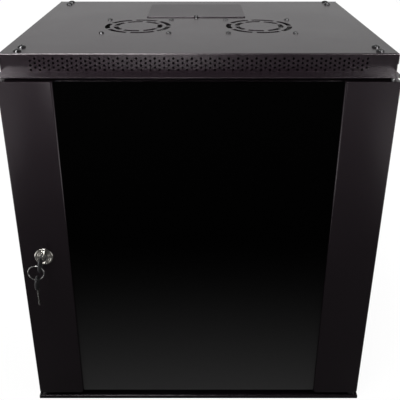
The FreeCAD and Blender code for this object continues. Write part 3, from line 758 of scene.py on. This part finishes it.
def roof_panel():
    """Folded roof with a rounded front, fan grilles, screw holes and the cable entry."""
    lowest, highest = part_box("top_panel")
    over = highest.z + cut_outside
    under = highest.z - panel_sheet - cut_inside
    cutter = folded_block(
        (lowest.x + panel_sheet, lowest.y + panel_sheet, lowest.z - cut_outside),
        (highest.x - panel_sheet, highest.y + cut_outside, highest.z - panel_sheet),
        roof_bend_inside,
    )
    add_block(
        cutter,
        (lowest.x + panel_sheet, lowest.y - cut_outside, lowest.z - cut_outside),
        (highest.x - panel_sheet, lowest.y + 2 * panel_sheet, highest.z - roof_bend),
    )
    for fan in ("fan_frame_left", "fan_frame_right"):
        add_grille(cutter, middle(fan), under, over)
    add_screw_holes(cutter, "top_panel", under, over)
    add_entry(cutter, "top_entry_plate", under, over)
    shape = carved(folded_block(lowest, highest, roof_bend), cutter)
    flatten_faces(new_piece("roof_panel", shape, "cabinet", ["top_panel"], "black_coat"))


def base_tray():
    """Tray with a rolled hem along its front lip and a cable entry."""
    lowest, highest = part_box("base_panel")
    floor = lowest.z + panel_sheet
    under, over = lowest.z - cut_outside, floor + cut_inside
    shape = bmesh.new()
    add_block(shape, lowest, highest)
    for level, reach, radius in (
        (lowest.z, base_edge_reach, base_edge),
        (highest.z, base_hem_reach, base_hem),
    ):
        end = lowest.y + reach
        round_edges(shape, lambda spot: abs(spot.z - level) < weld and spot.y < end, radius, fold_steps)
    cutter = bmesh.new()
    add_block(
        cutter,
        (lowest.x + panel_sheet, lowest.y + base_hem + panel_sheet / 2, floor),
        (highest.x - panel_sheet, highest.y + cut_outside, highest.z + cut_outside),
    )
    add_entry(cutter, "base_entry_plate", under, over)
    add_screw_holes(cutter, "base_panel", under, over)
    flatten_faces(new_piece("base_tray", carved(shape, cutter), "cabinet", ["base_panel"], "black_coat"))


# Perforated strip


def air_hole_strip():
    """Strip with round air holes in staggered columns."""
    lowest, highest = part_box("vent_strip")
    half = vent_pitch / 2
    first_x = -(vent_columns - 1) * half
    top_level = high("top_panel").z - vent_top_margin + half
    levels = [top_level - step * half for step in range(2 * vent_rows + 2)]
    heights = [lowest.z, *(z for z in reversed(levels) if z > lowest.z), highest.z]
    shape = bmesh.new()

    def sheet_face(corners):
        """One front face and its copy on the back."""
        for y in (lowest.y, highest.y):
            shape.faces.new([shape.verts.new((x, y, z)) for x, z in corners])

    def wall(first, second):
        """Face through the sheet along a line between two (x, z) points."""
        spots = [(first, lowest.y), (first, highest.y), (second, highest.y), (second, lowest.y)]
        shape.faces.new([shape.verts.new((x, y, z)) for (x, z), y in spots])

    def plain(x0, x1, z0, z1):
        """Field without a hole, with a corner wherever its neighbours have one."""
        rise = [z for z in heights if z0 - weld < z < z1 + weld]
        if len(rise) > 1:
            sheet_face([(x1, z) for z in rise] + [(x0, z) for z in reversed(rise)])

    def holed_cell(x, z):
        """Field round a hole, in six parts that meet its corners and the middles of its upright sides."""
        foot = max(z - half, lowest.z)
        head = z + half
        right, left = x + half, x - half
        border = [(right, z), (right, head), (left, head), (left, z), (left, foot), (right, foot)]
        border.append(border[0])
        ring = arc((x, z), vent_hole_radius, 0.0, 2 * math.pi, vent_hole_points)
        stops = [eighths * vent_hole_points // 8 for eighths in vent_cell_stops]
        for index, (begin, end) in enumerate(zip(stops, stops[1:])):
            sheet_face(border[index:index + 2] + ring[begin:end + 1][::-1])
        for first, second in zip(ring, ring[1:]):
            wall(first, second)

    for column in range(vent_columns):
        x = first_x + column * vent_pitch
        upper = 1 - column % 2
        for row in range(vent_rows):
            holed_cell(x, levels[upper + 2 * row + 1])
        plain(x - half, x + half, levels[upper], highest.z)
        plain(x - half, x + half, lowest.z, levels[upper + 2 * vent_rows])
    plain(lowest.x, first_x - half, lowest.z, highest.z)
    plain(-first_x + half, highest.x, lowest.z, highest.z)
    borders = [first_x - half + step * vent_pitch for step in range(vent_columns + 1)]
    borders = [lowest.x, *borders, highest.x]
    for z in (lowest.z, highest.z):
        for x0, x1 in zip(borders, borders[1:]):
            wall((x0, z), (x1, z))
    for x in (lowest.x, highest.x):
        for z0, z1 in zip(heights, heights[1:]):
            wall((x, z0), (x, z1))
    new_piece(
        "air_hole_strip",
        joined(shape),
        "cabinet",
        ["vent_strip"],
        "black_coat",
        finish="strip_coat",
        smooth_deg=turned_smooth_deg,
    )


# Door stiles


def rounded_outline(corners):
    """Outline of (x, y) points with rounded corners, from (x, y, radius) rows of a rectangle in order."""
    outline = []
    for index, (x, y, radius) in enumerate(corners):
        before = Vector(corners[index - 1][:2]) - Vector((x, y))
        after = Vector(corners[(index + 1) % len(corners)][:2]) - Vector((x, y))
        before.normalize()
        after.normalize()
        centre = Vector((x, y)) + (before + after) * radius
        for step in range(fold_steps + 1 if radius else 1):
            turn = math.pi / 2 * step / fold_steps
            outline.append(tuple(centre - after * radius * math.cos(turn) - before * radius * math.sin(turn)))
    return outline


def door_stile(name, node, outer_side):
    """Folded stile with rounded folds and a round hem that ends at the glass."""
    lowest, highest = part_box(node)
    front, back = lowest.y, highest.y
    outer, inner = (lowest.x, highest.x) if outer_side < 0 else (highest.x, lowest.x)
    sheet = -outer_side * stile_sheet
    inside = (lowest.z + stile_sheet, highest.z - stile_sheet)
    shape = bmesh.new()
    skin = [
        (outer, front, stile_fold),
        (inner, front, stile_hem),
        (inner, back, 0.0),
        (outer, back, stile_fold),
    ]
    add_prism(shape, rounded_outline(skin), lowest.z, highest.z)
    round_edges(
        shape,
        lambda spot: min(abs(spot.z - lowest.z), abs(spot.z - highest.z)) < weld,
        stile_rim,
        stile_rim_steps,
    )
    cutter = bmesh.new()
    hollow = [
        (outer + sheet, front + stile_sheet, stile_fold - stile_sheet),
        (inner - sheet, front + stile_sheet, stile_hem - stile_sheet),
        (inner - sheet, back - stile_sheet, 0.0),
        (outer + sheet, back - stile_sheet, stile_fold - stile_sheet),
    ]
    add_prism(cutter, rounded_outline(hollow), *inside)
    rear = back + stile_cut
    openings = [
        ((outer - outer_side * stile_flange, inner - sheet), back - stile_sheet - stile_cut),
        ((inner - sheet * 2, inner + sheet * 2), low("glass_pane").y - stile_glass_gap),
    ]
    for x, begin in openings:
        add_block(cutter, (min(x), begin, inside[0]), (max(x), rear, inside[1]))
    if outer_side < 0:
        lock = middle("lock_body")
        place = Matrix.Translation((lock.x, front, lock.z)) @ turn_to_y
        add_drill(cutter, lock_hole_radius, stile_cut, lock_points, place)
    else:
        pin = middle("hinge_pin_top")
        for z in (lowest.z, highest.z):
            place = Matrix.Translation((pin.x, pin.y, z))
            add_drill(cutter, pin_hole_radius, stile_cut, drill_points, place)
    new_piece(name, carved(shape, cutter), "door", [node], "black_coat")


# Latches of the side panels


def latch_housing(name, node, body, outer_side):
    """Round latch housing with a crowned flange outside the panel and a barrel inside it."""
    lowest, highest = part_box(node)
    centre = middle(node)
    face = highest.x if outer_side > 0 else lowest.x
    length = highest.x - lowest.x
    edge = latch_flange_height * latch_round_share
    profile = [(latch_bore_radius, length), (latch_barrel_radius, length)]
    profile += [(latch_barrel_radius, latch_flange_height), (latch_flange_radius, latch_flange_height)]
    profile += rounded_corner(edge, (latch_flange_radius - edge, edge), 0.0, -90.0)
    profile += [(latch_bore_radius + latch_bore_chamfer, 0.0), (latch_bore_radius, latch_bore_chamfer)]
    profile.append((latch_bore_radius, length))
    turn = Matrix.Rotation(math.radians(-90.0 * outer_side), 4, "Y")
    shape = bmesh.new()
    lathe(shape, profile, latch_points, Matrix.Translation((face, centre.y, centre.z)) @ turn)
    new_piece(name, joined(shape), body, [node], "black_plastic", smooth_deg=turned_smooth_deg)


# Lock, keys and ring


def lock_rosette():
    """Chromed rosette with a ridged face, on a barrel through the stile."""
    lowest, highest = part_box("lock_body")
    centre = middle("lock_body")
    height = highest.y - lowest.y
    profile = [(lock_bore_radius, height), (lock_barrel_radius, height)]
    profile.append((lock_barrel_radius, lock_flange_height))
    for ridge in lock_ridges:
        profile += rounded_corner(*ridge)
    profile.append((lock_bore_radius, height))
    shape = bmesh.new()
    lathe(shape, profile, lock_points, Matrix.Translation((centre.x, lowest.y, centre.z)) @ turn_to_y)
    new_piece(
        "lock_rosette",
        joined(shape),
        "door",
        ["lock_body"],
        "chrome",
        finish="lock_chrome",
        smooth_deg=turned_smooth_deg,
    )


def split_ring():
    """Split ring of two turns of wire."""
    lowest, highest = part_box("key_ring")
    centre = middle("key_ring")
    radius = (highest.x - lowest.x) / 2 - ring_wire / 2
    width = highest.y - lowest.y
    thick = width / 2 * ring_fill_share
    shape = bmesh.new()
    rings = []
    for step in range(ring_steps + 1):
        turn = 2 * math.pi * ring_turns * step / ring_steps + math.radians(ring_start_deg)
        share = step / ring_steps
        # The two turns lie side by side and change place over a short stretch
        slide = min(max((share - ring_change_begin) / ring_change_length, 0.0), 1.0)
        side = (slide * slide * (3 - 2 * slide) - 0.5) * (width - thick)
        outward = Vector((math.cos(turn), 0.0, math.sin(turn)))
        ring = []
        for corner in range(ring_wire_points):
            angle = 2 * math.pi * (corner + 0.5) / ring_wire_points
            across = ring_wire / 2 * math.cos(angle)
            along = Vector((0.0, side + thick / 2 * math.sin(angle), 0.0))
            ring.append(shape.verts.new(centre + outward * (radius + across) + along))
        rings.append(ring)
    for first, second in zip(rings, rings[1:]):
        for corner in range(ring_wire_points):
            after = (corner + 1) % ring_wire_points
            shape.faces.new((first[corner], first[after], second[after], second[corner]))
    shape.faces.new(rings[0])
    shape.faces.new(rings[-1][::-1])
    new_piece("split_ring", joined(shape), "ring", ["key_ring"], "chrome", smooth_deg=wire_smooth_deg)


def key_head(name, node, body, hole_direction):
    """Moulded bow of a key with rounded rims, a thumb recess on both faces and the ring hole."""
    lowest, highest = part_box(node)
    centre = middle(node)
    thickness = highest.x - lowest.x
    radius = (highest.z - lowest.z) / 2 if hole_direction.y else (highest.y - lowest.y) / 2
    half = thickness / 2
    edge = half * bow_edge_share
    floor = half - bow_recess_depth
    recess, rim = (radius * share for share in bow_recess_shares)
    profile = [(0.0, floor), (recess, floor), (rim, half)]
    profile += rounded_corner(edge, (radius - edge, half - edge), 90.0, 0.0)
    profile += [(a, -b) for a, b in reversed(profile)]
    shape = bmesh.new()
    lathe(shape, profile, bow_points, Matrix.Translation(centre) @ turn_to_x)
    hole = Matrix.Translation(centre + hole_direction * bow_hole_offset) @ turn_to_x
    drill = bmesh.new()
    add_drill(drill, bow_hole_radius, thickness, drill_points, hole)
    new_piece(name, carved(shape, drill), body, [node], "black_plastic")


# CAD nodes that stay


def dress_nodes():
    """Gives each CAD node the material of its slot, and the entry plates a rougher coat."""
    for name, node in nodes.items():
        node.data.materials.clear()
        coat = "entry_coat" if name.endswith("entry_plate") else slot_of[name]
        node.data.materials.append(materials[coat])


def soften_edges():
    """Small rounded edges on the folded sheets and plates."""
    for name, node in nodes.items():
        if slot_of[name] in ("black_coat", "zinc_steel", "key_steel") and not node.hide_render:
            join = node.modifiers.new("join", "WELD")
            join.merge_threshold = weld
            whole = node.modifiers.new("whole faces", "DECIMATE")
            whole.decimate_type = "DISSOLVE"
            whole.angle_limit = math.radians(flat_deg)
            bevel = node.modifiers.new("edge", "BEVEL")
            bevel.width = sheet_edge
            bevel.segments = sheet_edge_steps
            bevel.limit_method = "ANGLE"
            bevel.angle_limit = math.radians(sheet_edge_deg)
            flatten_faces(node)


# Studio


def view_rays(tree):
    """Two sockets: one for rays of the camera, and one for reflected and transmitted rays."""
    paths = tree.nodes.new("ShaderNodeLightPath").outputs
    mirrored = combined(tree, "MAXIMUM", paths["Is Glossy Ray"], paths["Is Transmission Ray"])
    return paths["Is Camera Ray"], mirrored


def floor_material():
    """Pale floor, which reflections in the object show dark in front of the door."""
    material = bpy.data.materials.new("studio_floor")
    material.use_nodes = True
    tree = material.node_tree
    tree.nodes.clear()
    axes = axes_of(tree, tree.nodes.new("ShaderNodeTexCoord").outputs["Object"])
    across = combined(tree, "ABSOLUTE", axes["X"])
    front = low("door_stile_left").y - floor_place[1]
    side = high("side_panel_right").x

    def grown(source, origin, distances, most):
        """Strength that grows from nothing to its most between two distances from an origin."""
        begin, end = distances
        return mapped(tree, source, origin + begin, origin + end, 0.0, most)

    beside = grown(across, side, floor_beside_side, 1.0)
    behind = grown(axes["Y"], front, floor_behind_front, 1.0)
    fading = grown(axes["Y"], front, floor_fade_at_front, floor_glow)
    close = combined(tree, "MULTIPLY", combined(tree, "MAXIMUM", beside, behind), fading)
    distant = grown(axes["Y"], front, floor_far_from_front, floor_far)
    aside = grown(across, 0.0, floor_aside_of_middle, floor_aside)
    aside = combined(tree, "MULTIPLY", aside, grown(axes["Y"], front, floor_aside_end, 1.0))
    reflected = combined(tree, "MAXIMUM", close, combined(tree, "MAXIMUM", distant, aside))
    direct, mirrored = view_rays(tree)
    reflected = combined(tree, "MULTIPLY", reflected, mirrored)
    strength = combined(tree, "MAXIMUM", reflected, combined(tree, "MULTIPLY", direct, floor_glow))

    matt = tree.nodes.new("ShaderNodeBsdfDiffuse")
    matt.inputs["Color"].default_value = (floor_grey, floor_grey, floor_grey, 1.0)
    glow = tree.nodes.new("ShaderNodeEmission")
    tree.links.new(strength, glow.inputs["Strength"])
    both = tree.nodes.new("ShaderNodeAddShader")
    tree.links.new(matt.outputs["BSDF"], both.inputs[0])
    tree.links.new(glow.outputs["Emission"], both.inputs[1])
    output = tree.nodes.new("ShaderNodeOutputMaterial")
    tree.links.new(both.outputs["Shader"], output.inputs["Surface"])
    return material


def studio_floor():
    """Wide floor that the object stands on."""
    shape = bmesh.new()
    bmesh.ops.create_grid(shape, x_segments=floor_cells, y_segments=floor_cells, size=floor_half)
    mesh = bpy.data.meshes.new("studio_floor")
    shape.to_mesh(mesh)
    shape.free()
    floor = bpy.data.objects.new("studio_floor", mesh)
    floor.location = floor_place
    mesh.materials.append(floor_material())
    bpy.context.scene.collection.objects.link(floor)


def studio_world():
    """White tent, which reflections in the object show dark on the camera's side and pale on the others."""
    world = bpy.data.worlds.new("studio_world")
    bpy.context.scene.world = world
    world.use_nodes = True
    tree = world.node_tree
    axes = axes_of(tree, tree.nodes.new("ShaderNodeTexCoord").outputs["Generated"])
    behind = mapped(tree, axes["Y"], *tent_behind)
    beside = mapped(tree, combined(tree, "ABSOLUTE", axes["X"]), *tent_beside)
    reflected = combined(tree, "MAXIMUM", behind, beside)
    soft = mapped(tree, axes["Y"], *tent_soft)
    direct, mirrored = view_rays(tree)
    strength = blended(tree, direct, blended(tree, mirrored, soft, reflected), 1.0)
    sky = tree.nodes["Background"]
    tree.links.new(strength, sky.inputs["Strength"])
    sky.inputs["Color"].default_value = (1.0, 1.0, 1.0, 1.0)


def softbox(name, place, target, size, power, spread_deg):
    """Area lamp that looks from its place to a target."""
    lamp = bpy.data.lights.new(name, "AREA")
    lamp.shape = "RECTANGLE"
    lamp.size, lamp.size_y = size
    lamp.energy = power
    lamp.spread = math.radians(spread_deg)
    holder = bpy.data.objects.new(name, lamp)
    holder.location = place
    holder.rotation_euler = (Vector(target) - Vector(place)).to_track_quat("-Z", "Y").to_euler()
    bpy.context.scene.collection.objects.link(holder)


def studio_lights():
    """Softboxes with honeycomb grids, whose light stays on the upper part of the object."""
    rim = high("vent_strip").z
    side = high("side_panel_right").x
    front = low("vent_strip").y
    for name, sign, ledge_power in (("left", -1, 0.72), ("right", 1, 0.50)):
        softbox(
            "softbox_ledge_" + name,
            place=(sign * 0.80, -1.2, 0.95),
            target=(sign * side, front, rim + 0.04),
            size=(0.3, 0.2),
            power=ledge_power,
            spread_deg=30.0,
        )
        softbox(
            "softbox_low_" + name,
            place=(sign * 0.75, -0.46, 0.17),
            target=(-sign * 0.2, front, 0.52),
            size=(0.5, 0.3),
            power=0.03,
            spread_deg=25.0,
        )
    softbox(
        "softbox_strip",
        place=(-0.11, -1.2, 0.47),
        target=(-0.06, front, rim),
        size=(0.25, 0.1),
        power=0.028,
        spread_deg=25.0,
    )
    softbox(
        "softbox_key",
        place=(-0.35, -0.95, 1.55),
        target=(-0.12, front + 0.08, rim + 0.15),
        size=(0.6, 0.4),
        power=1.75,
        spread_deg=35.0,
    )
    softbox(
        "softbox_top",
        place=(-0.35, -0.6, 1.75),
        target=(-0.12, front + 0.08, rim + 0.05),
        size=(0.6, 0.5),
        power=0.8,
        spread_deg=35.0,
    )


def studio_camera():
    """Camera of the photograph, with its focal length and its principal point."""
    data = bpy.data.cameras.new("photo_camera")
    data.sensor_width = sensor_mm
    data.lens = focal_px / image_px * sensor_mm
    data.shift_x = (image_px / 2 - principal_px[0]) / image_px
    data.shift_y = (principal_px[1] - image_px / 2) / image_px
    camera = bpy.data.objects.new("photo_camera", data)
    camera.location = camera_place
    camera.rotation_euler = (math.radians(90.0 - camera_pitch_deg), 0.0, 0.0)
    bpy.context.scene.collection.objects.link(camera)
    bpy.context.scene.camera = camera


dress_nodes()
roof_panel()
base_tray()
air_hole_strip()
for side_name, outward in (("left", -1), ("right", 1)):
    door_stile("stile_" + side_name, "door_stile_" + side_name, outward)
    latch_housing("latch_housing_" + side_name, "side_latch_body_" + side_name, "side_" + side_name, outward)
for group_name, screw_node, screw_size in screw_groups:
    screw_group(group_name, screw_node, screw_size)
lock_rosette()
split_ring()
key_head("key_head", "key_bow", "key", Vector((0.0, -1.0, 0.0)))
key_head("spare_key_head", "spare_key_bow", "spare_key", Vector((0.0, 0.0, 1.0)))
soften_edges()
studio_floor()
studio_world()
studio_lights()
studio_camera()
bpy.context.scene.view_settings.view_transform = "Standard"
